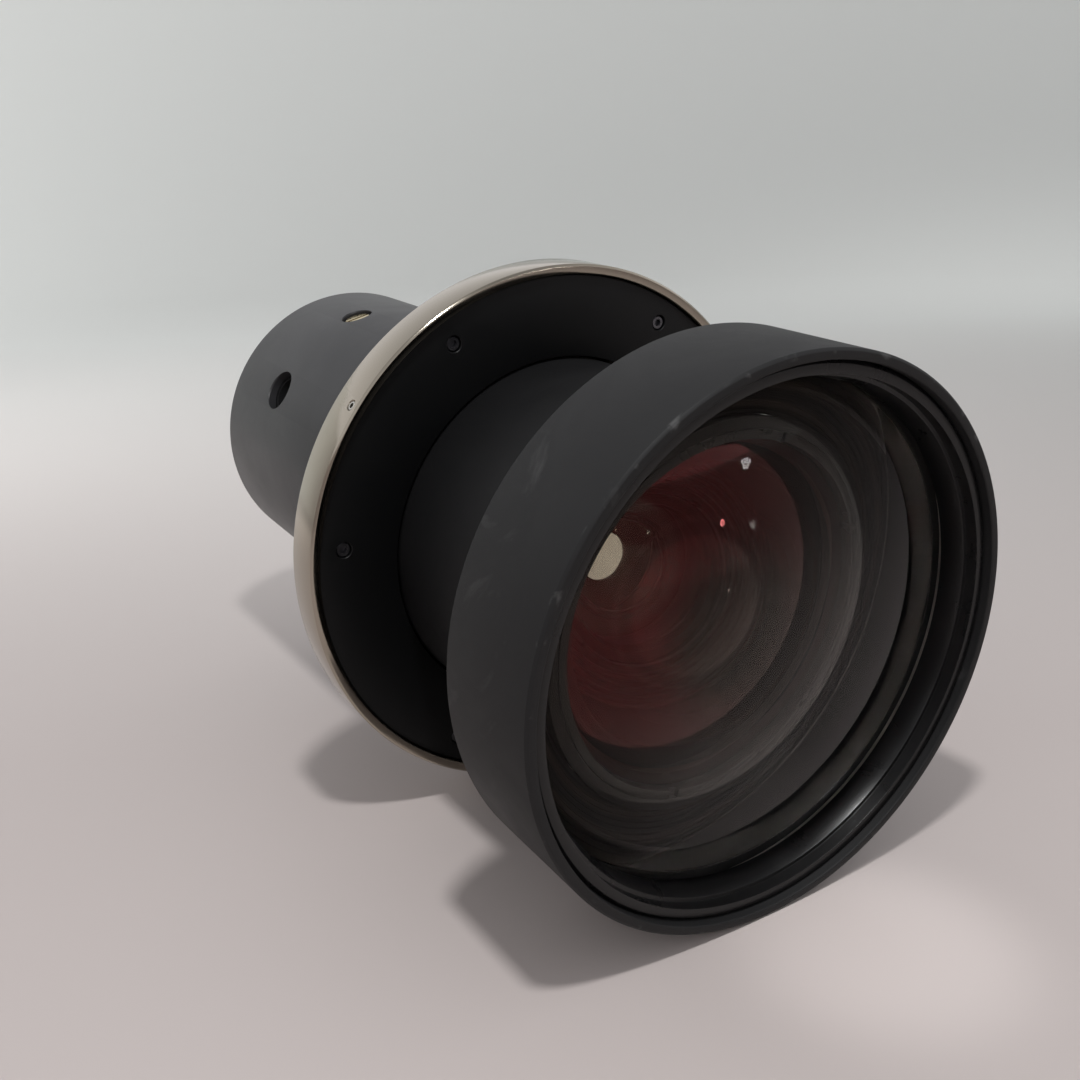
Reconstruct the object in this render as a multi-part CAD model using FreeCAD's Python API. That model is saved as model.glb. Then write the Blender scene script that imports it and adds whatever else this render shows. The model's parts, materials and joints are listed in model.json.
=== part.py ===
import FreeCAD, Part
import math
import os

# Short-throw projection lens for a large projector, in millimetres.
# The optical axis is Y: the hood faces -Y and the rear barrel runs towards +Y.
# The origin is on the axis in the flange's rear face, which seats the lens.
# A station is a distance along the axis from that seat, negative towards the hood.
# A clock angle turns about the axis from +Z, positive towards +X.

# Overall sizes
front_reach = 114.8
rear_reach = 140.3
barrel_radius = 52.1
hood_overhang = 21.4
flange_radius = 81.2

# Clearances between turned pieces
thread_clearance = 0.1
slip_clearance = 0.15
glass_clearance = 0.1
end_clearance = 0.05
cut_overrun = 1.0

# Front hood, which is also the cell of the front glass
hood_length = 35.6
hood_rim_wall = 2.8
hood_glass_wall = 5.9
hood_shoulder_width = 4.0
hood_back_wall = 3.2
hood_chamfer = 0.7
ring_seat_depth = 0.8

# Front retaining ring, stepped inwards towards the glass
front_ring_recess = 2.2
front_ring_face_width = 3.4
front_ring_step_depth = 3.4
front_ring_step_width = 1.1
front_ring_seat_width = 2.6
front_ring_chamfer = 1.0

# Ground land round the edge of the large glasses
glass_land = 0.6

# Front glass: meniscus, both faces hollow towards the rear
front_glass_recess = 1.0
front_glass_thickness = 9.0
front_glass_front_curve = 200.0
front_glass_back_curve = 138.0
front_glass_back_flat = 3.4

# Stepped baffle between the front glass and the hood's back wall
baffle_front_wall = 1.4
baffle_tube_gap = 1.1
baffle_steps = 8
baffle_land = 0.3

# Second glass: strong meniscus
front_air_gap = 12.5
second_glass_thickness = 6.0
second_glass_front_curve = 125.0
second_glass_back_curve = 49.4
second_glass_back_flat = 12.4

# Ring that holds the second glass in the middle tube
second_ring_width = 1.6
second_ring_length = 3.2
second_ring_slot_clock = 17.0
spanner_slot_width = 3.0
spanner_slot_depth = 1.2

# Middle tube
tube_wall = 3.1
tube_rear_wall = 3.5
tube_thread_length = 12.0
tube_shoulder_width = 3.6

# Conical spacer between the second glass and the third cell
spacer_front_wall = 7.3
spacer_rear_step = 1.0
spacer_grooves = 7
spacer_groove_depth = 0.4

# Third glass and its cell
third_glass_station = -38.1
third_glass_radius = 36.0
third_glass_thickness = 5.0
third_glass_front_curve = 436.0
third_glass_front_flat = 1.4
third_glass_back_curve = 80.0
third_glass_back_flat = 5.4
third_ring_length = 2.6
third_cell_lip = 3.0

# Flange ring and face plate
flange_thickness = 13.5
flange_rim_wall = 2.9
flange_web = 7.0
flange_chamfer = 0.6
plate_recess = 1.5
plate_foot_gap = 0.9
plate_chamfer = 0.3

# Screws of the face plate, cap heads in counterbores
face_screw_clocks = [-83.0, -29.0, 31.0, 97.0, 151.0, 211.0]
face_screw_edge_distance = 7.25
face_screw_head_radius = 2.1
face_screw_head_height = 2.2
face_screw_shank_radius = 1.25
face_screw_length = 8.0
face_screw_sink = 0.5
face_screw_socket = 2.0
face_screw_socket_depth = 1.3
counterbore_clearance = 0.25

# Set screws in the flange's rim
rim_screw_clocks = [-53.2, 66.8, 186.8]
rim_screw_setback = 3.5
rim_screw_radius = 1.5
rim_screw_sink = 0.2
rim_screw_socket = 1.5
rim_screw_socket_depth = 1.4

# Rear barrel with its spigot
seat_shoulder_height = 2.1
spigot_wall = 3.6
barrel_wall = 3.0
barrel_shoulder = 6.0
barrel_chamfer = 0.5

# Holes for the centring and locking screws, in pairs round the rear barrel
hole_setback = 38.4
centring_clocks = [-14.6, 105.4, 225.4]
locking_clocks = [-58.8, 61.2, 181.2]
centring_hole_radius = 5.5
locking_hole_radius = 7.2
centring_head_radius = 4.7
centring_head_height = 2.1
centring_shank_radius = 2.0
centring_length = 6.0
centring_slot_width = 1.2
centring_slot_depth = 1.0
locking_bore_radius = 5.6
locking_bore_depth = 4.0
locking_screw_radius = 3.0
locking_tip_wall = 0.5
locking_screw_socket = 3.0
locking_screw_socket_depth = 2.5

# Group carrier that holds the rear elements
carrier_setback = 3.3
carrier_wall = 8.8
carrier_waist_wall = 4.0
carrier_front_collar = 12.0
carrier_screw_collar = 18.0
carrier_rear_collar = 11.0
carrier_mouth = 1.0
septum_thickness = 3.0
septum_bore = 22.0

# Fourth glass, in the front of the carrier
fourth_glass_radius = 32.7
fourth_glass_thickness = 14.0
fourth_glass_front_curve = 35.9
fourth_glass_front_flat = 3.0
fourth_glass_back_curve = 82.8
fourth_glass_back_flat = 3.6
fourth_ring_length = 3.5

# Aperture stop and the sleeve in front of it
stop_station = 44.3
stop_front_gap = 30.0
stop_rear_gap = 5.2
stop_opening = 12.0
stop_thickness = 0.6
stop_spacer_wall = 2.4

# Fifth glass, a small meniscus behind the stop, in its cell
fifth_glass_radius = 17.0
fifth_glass_thickness = 6.0
fifth_glass_front_curve = -20.0
fifth_glass_front_flat = 4.4
fifth_glass_back_curve = -37.7
fifth_glass_back_flat = 2.0
fifth_cell_lip = 3.0

# Sixth glass and its cell
relay_air_gap = 18.1
relay_spacer_wall = 2.0
relay_spacer_foot = 2.5
sixth_glass_radius = 27.0
sixth_glass_thickness = 9.0
sixth_glass_front_curve = -226.0
sixth_glass_back_curve = -45.7
sixth_glass_flat = 1.4
sixth_cell_lip = 3.0

# Rear glass, its spacer and its retaining ring
rear_glass_setback = 4.6
rear_glass_rim_length = 3.2
rear_glass_front_curve = 126.0
rear_glass_back_curve = -216.0
rear_glass_flat = 2.0
rear_ring_length = 3.0
rear_ring_slot_clock = 90.0

ORIGIN = FreeCAD.Vector(0, 0, 0)
AXIS = FreeCAD.Vector(0, 1, 0)


def on_axis(station):
    """Point of the optical axis at a station."""
    return FreeCAD.Vector(0, station, 0)


def in_section(station, radius):
    """Point of the half section that is turned about the axis."""
    return FreeCAD.Vector(radius, station, 0)


def turned(outline):
    """Solid turned about the axis from a closed outline of (station, radius) points."""
    corners = [in_section(station, radius) for station, radius in outline]
    section = Part.Face(Part.makePolygon(corners + corners[:1]))
    return section.revolve(ORIGIN, AXIS, 360)


def tube(start, end, radius, bore):
    """Plain ring with square ends."""
    return turned([(start, bore), (start, radius), (end, radius), (end, bore)])


def sag(curve, radius):
    """Depth of a spherical face at a radius; its sign is that of the curve."""
    return curve - math.copysign(math.sqrt(curve ** 2 - radius ** 2), curve)


def face_arc(vertex, curve, edge):
    """Arc of a spherical face from the axis to its edge radius."""
    middle = edge / 2
    return Part.Arc(
        on_axis(vertex),
        in_section(vertex + sag(curve, middle), middle),
        in_section(vertex + sag(curve, edge), edge),
    ).toShape()


def glass(front, front_curve, front_edge, back, back_curve, back_edge, radius):
    """Glass between two vertex stations, with flat rims outside its spherical faces."""
    front_rim = front + sag(front_curve, front_edge)
    back_rim = back + sag(back_curve, back_edge)
    corners = [
        in_section(front_rim, front_edge),
        in_section(front_rim, radius),
        in_section(back_rim, radius),
        in_section(back_rim, back_edge),
    ]
    outline = [face_arc(front, front_curve, front_edge)]
    outline += [Part.makeLine(a, b) for a, b in zip(corners, corners[1:])]
    outline += [face_arc(back, back_curve, back_edge), Part.makeLine(on_axis(back), on_axis(front))]
    section = Part.Face(Part.Wire(outline))
    return section.revolve(ORIGIN, AXIS, 360)


def outward(clock):
    """Unit vector from the axis at a clock angle."""
    turn = math.radians(clock)
    return FreeCAD.Vector(math.sin(turn), 0, math.cos(turn))


def radial_post(station, clock, inner, outer, radius):
    """Round post that points away from the axis, between two distances from it."""
    direction = outward(clock)
    foot = on_axis(station) + direction * inner
    return Part.makeCylinder(radius, outer - inner, foot, direction)


def axial_post(clock, circle, start, end, radius):
    """Round post parallel to the axis, on a circle about it."""
    foot = on_axis(start) + outward(clock) * circle
    return Part.makeCylinder(radius, end - start, foot, AXIS)


def hex_socket(top, direction, across_flats, depth):
    """Six-sided socket sunk from a screw's top, against the screw's outward direction."""
    corner = across_flats / math.sqrt(3)
    helper = AXIS if abs(direction.dot(AXIS)) < 0.5 else FreeCAD.Vector(0, 0, 1)
    side = direction.cross(helper).normalize()
    up = direction.cross(side)
    points = []
    for step in range(6):
        turn = math.radians(60 * step)
        points.append(top + side * (corner * math.cos(turn)) + up * (corner * math.sin(turn)))
    floor = Part.Face(Part.makePolygon(points + points[:1]))
    return floor.extrude(direction * -depth)


def spanner_slots(ring, start, radius, clock):
    """The ring with two opposite slots at a clock angle, cut from a start station, for a pin spanner."""
    corner = FreeCAD.Vector(-spanner_slot_width / 2, start, -radius)
    slot = Part.makeBox(spanner_slot_width, spanner_slot_depth, 2 * radius, corner)
    slot.rotate(ORIGIN, AXIS, clock)
    return ring.cut(slot)


# Radii that follow from the sizes
spigot_radius = barrel_radius - seat_shoulder_height
tube_thread_bore = spigot_radius + thread_clearance
tube_radius = tube_thread_bore + tube_rear_wall
tube_bore = tube_radius - tube_wall
tube_shoulder_bore = tube_bore - tube_shoulder_width

hood_radius = tube_radius + hood_overhang
hood_tube_bore = tube_radius + thread_clearance
hood_rim_bore = hood_radius - hood_rim_wall
hood_glass_bore = hood_radius - hood_glass_wall
hood_baffle_bore = hood_glass_bore - hood_shoulder_width
front_ring_radius = hood_rim_bore - thread_clearance
front_ring_lip = front_ring_radius - front_ring_face_width
front_glass_radius = hood_glass_bore - glass_clearance
front_ring_bore = front_glass_radius - front_ring_seat_width
front_glass_front_edge = front_glass_radius - glass_land
front_glass_back_edge = front_glass_radius - front_glass_back_flat

second_glass_radius = tube_bore - glass_clearance
second_glass_front_edge = second_glass_radius - glass_land
second_glass_back_edge = second_glass_radius - second_glass_back_flat
tube_insert_radius = tube_bore - slip_clearance
third_glass_front_edge = third_glass_radius - third_glass_front_flat
third_glass_back_edge = third_glass_radius - third_glass_back_flat

flange_rim_bore = flange_radius - flange_rim_wall
plate_radius = flange_rim_bore - slip_clearance
plate_bore = tube_radius + plate_foot_gap
face_screw_circle = plate_radius - face_screw_edge_distance

barrel_bore = barrel_radius - barrel_wall
carrier_radius = barrel_bore - slip_clearance
carrier_front_bore = fourth_glass_radius + glass_clearance
carrier_rear_bore = carrier_radius - carrier_wall
carrier_waist_radius = carrier_rear_bore + carrier_waist_wall
carrier_insert_radius = carrier_rear_bore - slip_clearance
fourth_glass_front_edge = fourth_glass_radius - fourth_glass_front_flat
fourth_glass_back_edge = fourth_glass_radius - fourth_glass_back_flat
fifth_glass_front_edge = fifth_glass_radius - fifth_glass_front_flat
fifth_glass_back_edge = fifth_glass_radius - fifth_glass_back_flat
sixth_glass_edge = sixth_glass_radius - sixth_glass_flat
rear_glass_radius = carrier_rear_bore - glass_clearance
rear_glass_edge = rear_glass_radius - rear_glass_flat

# Stations that follow from the sizes, from the hood to the rear
hood_front = -front_reach
hood_rear = hood_front + hood_length
hood_back_face = hood_rear - hood_back_wall
front_glass_front = hood_front + front_glass_recess
front_glass_back = front_glass_front + front_glass_thickness
front_glass_seat = front_glass_back + sag(front_glass_back_curve, front_glass_back_edge)
front_ring_rear = front_glass_front + sag(front_glass_front_curve, front_ring_bore) - end_clearance

second_glass_front = front_glass_back + front_air_gap
second_glass_back = second_glass_front + second_glass_thickness
second_ring_bore = second_glass_front_edge - second_ring_width
second_ring_rear = second_glass_front + sag(second_glass_front_curve, second_ring_bore) - end_clearance
second_glass_seat = second_glass_back + sag(second_glass_back_curve, second_glass_back_edge)
tube_front = second_ring_rear - second_ring_length

third_glass_back = third_glass_station + third_glass_thickness
third_glass_rim = third_glass_station + sag(third_glass_front_curve, third_glass_front_edge)
third_glass_seat = third_glass_back + sag(third_glass_back_curve, third_glass_back_edge)
third_cell_front = third_glass_rim - third_ring_length
third_cell_rear = third_glass_seat + third_cell_lip

flange_front = -flange_thickness
web_front = -flange_web
plate_front = flange_front + plate_recess
face_screw_top = plate_front + face_screw_sink
face_screw_seat = face_screw_top + face_screw_head_height
face_screw_end = face_screw_seat + face_screw_length
rim_screw_station = flange_front + rim_screw_setback
spigot_front = web_front - tube_thread_length + end_clearance

hole_station = rear_reach - hole_setback
carrier_front = barrel_shoulder + end_clearance
carrier_rear = rear_reach - carrier_setback
locking_floor = carrier_radius - locking_bore_depth
locking_tip = carrier_rear_bore + locking_tip_wall

septum_front = stop_station - septum_thickness
fourth_glass_back = stop_station - stop_front_gap
fourth_glass_front = fourth_glass_back - fourth_glass_thickness
fourth_glass_rim = fourth_glass_front + sag(fourth_glass_front_curve, fourth_glass_front_edge)
fourth_glass_seat = fourth_glass_back + sag(fourth_glass_back_curve, fourth_glass_back_edge)

fifth_glass_front = stop_station + stop_rear_gap
fifth_glass_back = fifth_glass_front + fifth_glass_thickness
fifth_cell_front = stop_station + stop_thickness
fifth_glass_seat = fifth_glass_back + sag(fifth_glass_back_curve, fifth_glass_back_edge)
fifth_cell_rear = fifth_glass_seat + fifth_cell_lip

sixth_glass_front = fifth_glass_back + relay_air_gap
sixth_glass_back = sixth_glass_front + sixth_glass_thickness
sixth_glass_rim = sixth_glass_front + sag(sixth_glass_front_curve, sixth_glass_edge)
sixth_glass_seat = sixth_glass_back + sag(sixth_glass_back_curve, sixth_glass_edge)
sixth_cell_rear = sixth_glass_seat + sixth_cell_lip

rear_glass_back = carrier_rear - rear_glass_setback
rear_ring_front = rear_glass_back + sag(rear_glass_back_curve, rear_glass_edge)
rear_glass_rim = rear_ring_front - rear_glass_rim_length
rear_glass_front = rear_glass_rim - sag(rear_glass_front_curve, rear_glass_edge)
rear_ring_rear = rear_ring_front + rear_ring_length


def make_front_hood():
    """Deep turned ring: rim, ring thread, glass bore, shoulder, baffle bore and back wall."""
    ring_floor = front_ring_rear + ring_seat_depth
    return turned([
        (hood_front, hood_rim_bore),
        (hood_front, hood_radius - hood_chamfer),
        (hood_front + hood_chamfer, hood_radius),
        (hood_rear - hood_chamfer, hood_radius),
        (hood_rear, hood_radius - hood_chamfer),
        (hood_rear, hood_tube_bore),
        (hood_back_face, hood_tube_bore),
        (hood_back_face, hood_baffle_bore),
        (front_glass_seat, hood_baffle_bore),
        (front_glass_seat, hood_glass_bore),
        (ring_floor, hood_glass_bore),
        (ring_floor, hood_rim_bore),
    ])


def make_front_retaining_ring():
    """Threaded ring in the hood's rim, with a stepped and tapered inside."""
    front = hood_front + front_ring_recess
    step = front + front_ring_step_depth
    return turned([
        (front, front_ring_lip),
        (front, front_ring_radius - front_ring_chamfer),
        (front + front_ring_chamfer, front_ring_radius),
        (front_ring_rear, front_ring_radius),
        (front_ring_rear, front_ring_bore),
        (step, front_ring_lip - front_ring_step_width),
        (step, front_ring_lip),
    ])


def make_front_glass():
    """Large front meniscus."""
    return glass(
        front_glass_front, front_glass_front_curve, front_glass_front_edge,
        front_glass_back, front_glass_back_curve, front_glass_back_edge,
        front_glass_radius,
    )


def make_stepped_baffle():
    """Ring behind the front glass whose bore closes in steps, each with a flat land."""
    radius = hood_baffle_bore - slip_clearance
    start = front_glass_seat + end_clearance
    end = hood_back_face - end_clearance
    front_bore = radius - baffle_front_wall
    rear_bore = tube_radius + baffle_tube_gap
    rise = (front_bore - rear_bore) / baffle_steps
    run = (end - start) / baffle_steps
    outline = [(start, radius), (start, front_bore)]
    for step in range(baffle_steps):
        bore = front_bore - rise * step
        land = start + run * (step + 1) - baffle_land
        outline.append((land, bore))
        outline.append((land, bore - rise))
    outline.append((end, rear_bore))
    outline.append((end, radius))
    return turned(outline)


def make_second_retaining_ring():
    """Thin ring in front of the second glass, with two spanner slots."""
    radius = tube_bore - thread_clearance
    ring = tube(tube_front, second_ring_rear, radius, second_ring_bore)
    return spanner_slots(ring, tube_front, radius, second_ring_slot_clock)


def make_second_glass():
    """Strong meniscus in the mouth of the middle tube."""
    return glass(
        second_glass_front, second_glass_front_curve, second_glass_front_edge,
        second_glass_back, second_glass_back_curve, second_glass_back_edge,
        second_glass_radius,
    )


def make_middle_tube():
    """Tube between hood and flange, with a shoulder for the third cell and a rear thread."""
    thread_start = web_front - tube_thread_length
    return turned([
        (tube_front, tube_bore),
        (tube_front, tube_radius),
        (web_front, tube_radius),
        (web_front, tube_thread_bore),
        (thread_start, tube_thread_bore),
        (thread_start, tube_shoulder_bore),
        (third_cell_rear, tube_shoulder_bore),
        (third_cell_rear, tube_bore),
    ])


def make_conical_spacer():
    """Spacer with a tapered, grooved bore that keeps stray light off the third glass."""
    front_bore = tube_insert_radius - spacer_front_wall
    rear_bore = third_glass_radius + spacer_rear_step
    pitch = (third_cell_front - second_glass_seat) / spacer_grooves
    taper = (front_bore - rear_bore) / spacer_grooves
    outline = [(second_glass_seat, tube_insert_radius)]
    for groove in range(spacer_grooves):
        station = second_glass_seat + pitch * groove
        bore = front_bore - taper * groove
        outline.append((station, bore))
        outline.append((station + pitch / 2, bore))
        outline.append((station + pitch / 2, bore + spacer_groove_depth))
        outline.append((station + pitch, bore + spacer_groove_depth))
    outline.append((third_cell_front, tube_insert_radius))
    return turned(outline)


def make_third_glass_cell():
    """Ring that centres the third glass in the middle tube."""
    pocket = third_glass_radius + glass_clearance
    return turned([
        (third_cell_front, pocket),
        (third_cell_front, tube_insert_radius),
        (third_cell_rear, tube_insert_radius),
        (third_cell_rear, third_glass_back_edge),
        (third_glass_seat, third_glass_back_edge),
        (third_glass_seat, pocket),
    ])


def make_third_retaining_ring():
    """Ring that presses the third glass into its cell."""
    return tube(third_cell_front, third_glass_rim, third_glass_radius, third_glass_front_edge)


def make_third_glass():
    """Third element, hollow towards the rear."""
    return glass(
        third_glass_station, third_glass_front_curve, third_glass_front_edge,
        third_glass_back, third_glass_back_curve, third_glass_back_edge,
        third_glass_radius,
    )


def make_flange_ring():
    """Plated ring with a web behind the face plate; its rear face seats the lens."""
    half_chamfer = flange_chamfer / 2
    ring = turned([
        (flange_front, flange_rim_bore + half_chamfer),
        (flange_front, flange_radius - flange_chamfer),
        (flange_front + flange_chamfer, flange_radius),
        (-flange_chamfer, flange_radius),
        (0, flange_radius - flange_chamfer),
        (0, spigot_radius + slip_clearance),
        (web_front, spigot_radius + slip_clearance),
        (web_front, flange_rim_bore),
        (flange_front + half_chamfer, flange_rim_bore),
    ])
    for clock in rim_screw_clocks:
        outer = flange_radius + cut_overrun
        ring = ring.cut(radial_post(rim_screw_station, clock, plate_radius, outer, rim_screw_radius))
    for clock in face_screw_clocks:
        tap = axial_post(clock, face_screw_circle, web_front, face_screw_end, face_screw_shank_radius)
        ring = ring.cut(tap)
    return ring


def make_flange_face_plate():
    """Black plate let into the flange's front, counterbored for its screws."""
    plate = turned([
        (plate_front, plate_bore),
        (plate_front, plate_radius - plate_chamfer),
        (plate_front + plate_chamfer, plate_radius),
        (web_front, plate_radius),
        (web_front, plate_bore),
    ])
    head_hole = face_screw_head_radius + counterbore_clearance
    shank_hole = face_screw_shank_radius + slip_clearance
    for clock in face_screw_clocks:
        plate = plate.cut(axial_post(clock, face_screw_circle, plate_front, face_screw_seat, head_hole))
        plate = plate.cut(axial_post(clock, face_screw_circle, face_screw_seat, web_front, shank_hole))
    return plate


def make_face_screws():
    """Cap screws that hold the face plate to the flange's web."""
    screws = []
    for clock in face_screw_clocks:
        head = axial_post(clock, face_screw_circle, face_screw_top, face_screw_seat, face_screw_head_radius)
        shank = axial_post(clock, face_screw_circle, face_screw_seat, face_screw_end, face_screw_shank_radius)
        top = on_axis(face_screw_top) + outward(clock) * face_screw_circle
        socket = hex_socket(top, AXIS * -1, face_screw_socket, face_screw_socket_depth)
        screws.append(head.fuse(shank).cut(socket))
    return Part.makeCompound(screws)


def make_rim_set_screws():
    """Set screws that lock the face plate through the flange's rim."""
    outer = flange_radius - rim_screw_sink
    screws = []
    for clock in rim_screw_clocks:
        body = radial_post(rim_screw_station, clock, plate_radius, outer, rim_screw_radius)
        top = on_axis(rim_screw_station) + outward(clock) * outer
        screws.append(body.cut(hex_socket(top, outward(clock), rim_screw_socket, rim_screw_socket_depth)))
    return Part.makeCompound(screws)


def make_rear_barrel():
    """Barrel with a threaded spigot through the flange, and holes over the carrier's screws."""
    barrel = turned([
        (spigot_front, spigot_radius - spigot_wall),
        (spigot_front, spigot_radius),
        (0, spigot_radius),
        (0, barrel_radius),
        (rear_reach - barrel_chamfer, barrel_radius),
        (rear_reach, barrel_radius - barrel_chamfer),
        (rear_reach, barrel_bore),
        (barrel_shoulder, barrel_bore),
        (barrel_shoulder, spigot_radius - spigot_wall),
    ])
    inner = barrel_bore - barrel_wall
    outer = barrel_radius + cut_overrun
    for clock in centring_clocks:
        barrel = barrel.cut(radial_post(hole_station, clock, inner, outer, centring_hole_radius))
    for clock in locking_clocks:
        barrel = barrel.cut(radial_post(hole_station, clock, inner, outer, locking_hole_radius))
    return barrel


def make_group_carrier():
    """Waisted sleeve inside the rear barrel that carries the rear group."""
    half_collar = carrier_screw_collar / 2
    carrier = turned([
        (carrier_front, carrier_front_bore),
        (carrier_front, carrier_radius),
        (carrier_front + carrier_front_collar, carrier_radius),
        (carrier_front + carrier_front_collar, carrier_waist_radius),
        (hole_station - half_collar, carrier_waist_radius),
        (hole_station - half_collar, carrier_radius),
        (hole_station + half_collar, carrier_radius),
        (hole_station + half_collar, carrier_waist_radius),
        (carrier_rear - carrier_rear_collar, carrier_waist_radius),
        (carrier_rear - carrier_rear_collar, carrier_radius),
        (carrier_rear, carrier_radius),
        (carrier_rear, carrier_rear_bore + carrier_mouth),
        (carrier_rear - carrier_mouth, carrier_rear_bore),
        (stop_station, carrier_rear_bore),
        (stop_station, septum_bore),
        (septum_front, septum_bore),
        (septum_front, carrier_front_bore),
    ])
    outer = carrier_radius + cut_overrun
    for clock in centring_clocks:
        inner = carrier_radius - centring_length
        carrier = carrier.cut(radial_post(hole_station, clock, inner, outer, centring_shank_radius))
    for clock in locking_clocks:
        carrier = carrier.cut(radial_post(hole_station, clock, locking_floor, outer, locking_bore_radius))
        carrier = carrier.cut(radial_post(hole_station, clock, locking_tip, locking_floor, locking_screw_radius))
    return carrier


def screw_slot(clock, top):
    """Straight slot across the head of one centring screw."""
    length = 2 * centring_head_radius
    corner = FreeCAD.Vector(-length / 2, hole_station - centring_slot_width / 2, top - centring_slot_depth)
    slot = Part.makeBox(length, centring_slot_width, centring_slot_depth, corner)
    slot.rotate(ORIGIN, AXIS, clock)
    return slot


def make_centring_screws():
    """Slotted cheese-head screws in the rear barrel's holes."""
    top = carrier_radius + centring_head_height
    inner = carrier_radius - centring_length
    screws = []
    for clock in centring_clocks:
        head = radial_post(hole_station, clock, carrier_radius, top, centring_head_radius)
        shank = radial_post(hole_station, clock, inner, carrier_radius, centring_shank_radius)
        screws.append(head.fuse(shank).cut(screw_slot(clock, top)))
    return Part.makeCompound(screws)


def make_locking_screws():
    """Set screws at the bottom of their counterbores in the carrier."""
    screws = []
    for clock in locking_clocks:
        body = radial_post(hole_station, clock, locking_tip, locking_floor, locking_screw_radius)
        top = on_axis(hole_station) + outward(clock) * locking_floor
        socket = hex_socket(top, outward(clock), locking_screw_socket, locking_screw_socket_depth)
        screws.append(body.cut(socket))
    return Part.makeCompound(screws)


def make_fourth_retaining_ring():
    """Ring in front of the fourth glass."""
    radius = carrier_front_bore - thread_clearance
    return tube(fourth_glass_rim - fourth_ring_length, fourth_glass_rim, radius, fourth_glass_front_edge)


def make_fourth_glass():
    """Deeply curved element at the front of the carrier."""
    return glass(
        fourth_glass_front, fourth_glass_front_curve, fourth_glass_front_edge,
        fourth_glass_back, fourth_glass_back_curve, fourth_glass_back_edge,
        fourth_glass_radius,
    )


def make_stop_spacer():
    """Sleeve from the fourth glass to the carrier's septum."""
    radius = carrier_front_bore - slip_clearance
    return tube(fourth_glass_seat, septum_front, radius, radius - stop_spacer_wall)


def make_aperture_stop():
    """Thin plate behind the septum with the lens's limiting opening."""
    return tube(stop_station, fifth_cell_front, carrier_insert_radius, stop_opening)


def make_fifth_glass_cell():
    """Disc that centres the small fifth glass and clamps the aperture stop."""
    pocket = fifth_glass_radius + glass_clearance
    return turned([
        (fifth_cell_front, pocket),
        (fifth_cell_front, carrier_insert_radius),
        (fifth_cell_rear, carrier_insert_radius),
        (fifth_cell_rear, fifth_glass_back_edge),
        (fifth_glass_seat, fifth_glass_back_edge),
        (fifth_glass_seat, pocket),
    ])


def make_fifth_glass():
    """Small meniscus behind the stop."""
    return glass(
        fifth_glass_front, fifth_glass_front_curve, fifth_glass_front_edge,
        fifth_glass_back, fifth_glass_back_curve, fifth_glass_back_edge,
        fifth_glass_radius,
    )


def make_relay_spacer():
    """Sleeve behind the fifth cell, with a foot that holds the sixth glass."""
    bore = carrier_insert_radius - relay_spacer_wall
    foot = sixth_glass_rim - relay_spacer_foot
    return turned([
        (fifth_cell_rear, bore),
        (fifth_cell_rear, carrier_insert_radius),
        (sixth_glass_rim, carrier_insert_radius),
        (sixth_glass_rim, sixth_glass_edge),
        (foot, sixth_glass_edge),
        (foot, bore),
    ])


def make_sixth_glass_cell():
    """Ring that centres the sixth glass in the carrier."""
    pocket = sixth_glass_radius + glass_clearance
    return turned([
        (sixth_glass_rim, pocket),
        (sixth_glass_rim, carrier_insert_radius),
        (sixth_cell_rear, carrier_insert_radius),
        (sixth_cell_rear, sixth_glass_edge),
        (sixth_glass_seat, sixth_glass_edge),
        (sixth_glass_seat, pocket),
    ])


def make_sixth_glass():
    """Sixth element, bulging towards the rear."""
    return glass(
        sixth_glass_front, sixth_glass_front_curve, sixth_glass_edge,
        sixth_glass_back, sixth_glass_back_curve, sixth_glass_edge,
        sixth_glass_radius,
    )


def make_rear_spacer():
    """Sleeve from the sixth cell to the rear glass."""
    return tube(sixth_cell_rear, rear_glass_rim, carrier_insert_radius, rear_glass_edge)


def make_rear_glass():
    """Rear element, bulging on both sides."""
    return glass(
        rear_glass_front, rear_glass_front_curve, rear_glass_edge,
        rear_glass_back, rear_glass_back_curve, rear_glass_edge,
        rear_glass_radius,
    )


def make_rear_retaining_ring():
    """Threaded ring behind the rear glass, with two spanner slots."""
    radius = carrier_rear_bore - thread_clearance
    ring = tube(rear_ring_front, rear_ring_rear, radius, rear_glass_edge)
    return spanner_slots(ring, rear_ring_rear - spanner_slot_depth, radius, rear_ring_slot_clock)


makers = {
    "front_hood": make_front_hood,
    "front_retaining_ring": make_front_retaining_ring,
    "front_glass": make_front_glass,
    "stepped_baffle": make_stepped_baffle,
    "second_retaining_ring": make_second_retaining_ring,
    "second_glass": make_second_glass,
    "middle_tube": make_middle_tube,
    "conical_spacer": make_conical_spacer,
    "third_glass_cell": make_third_glass_cell,
    "third_retaining_ring": make_third_retaining_ring,
    "third_glass": make_third_glass,
    "flange_ring": make_flange_ring,
    "flange_face_plate": make_flange_face_plate,
    "face_screws": make_face_screws,
    "rim_set_screws": make_rim_set_screws,
    "rear_barrel": make_rear_barrel,
    "group_carrier": make_group_carrier,
    "centring_screws": make_centring_screws,
    "locking_screws": make_locking_screws,
    "fourth_retaining_ring": make_fourth_retaining_ring,
    "fourth_glass": make_fourth_glass,
    "stop_spacer": make_stop_spacer,
    "aperture_stop": make_aperture_stop,
    "fifth_glass_cell": make_fifth_glass_cell,
    "fifth_glass": make_fifth_glass,
    "relay_spacer": make_relay_spacer,
    "sixth_glass_cell": make_sixth_glass_cell,
    "sixth_glass": make_sixth_glass,
    "rear_spacer": make_rear_spacer,
    "rear_glass": make_rear_glass,
    "rear_retaining_ring": make_rear_retaining_ring,
}

os.makedirs("parts", exist_ok=True)
for name, make in makers.items():
    make().exportStep("parts/" + name + ".step")
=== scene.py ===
import json
import math

import bpy
from mathutils import Matrix, Vector


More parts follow.
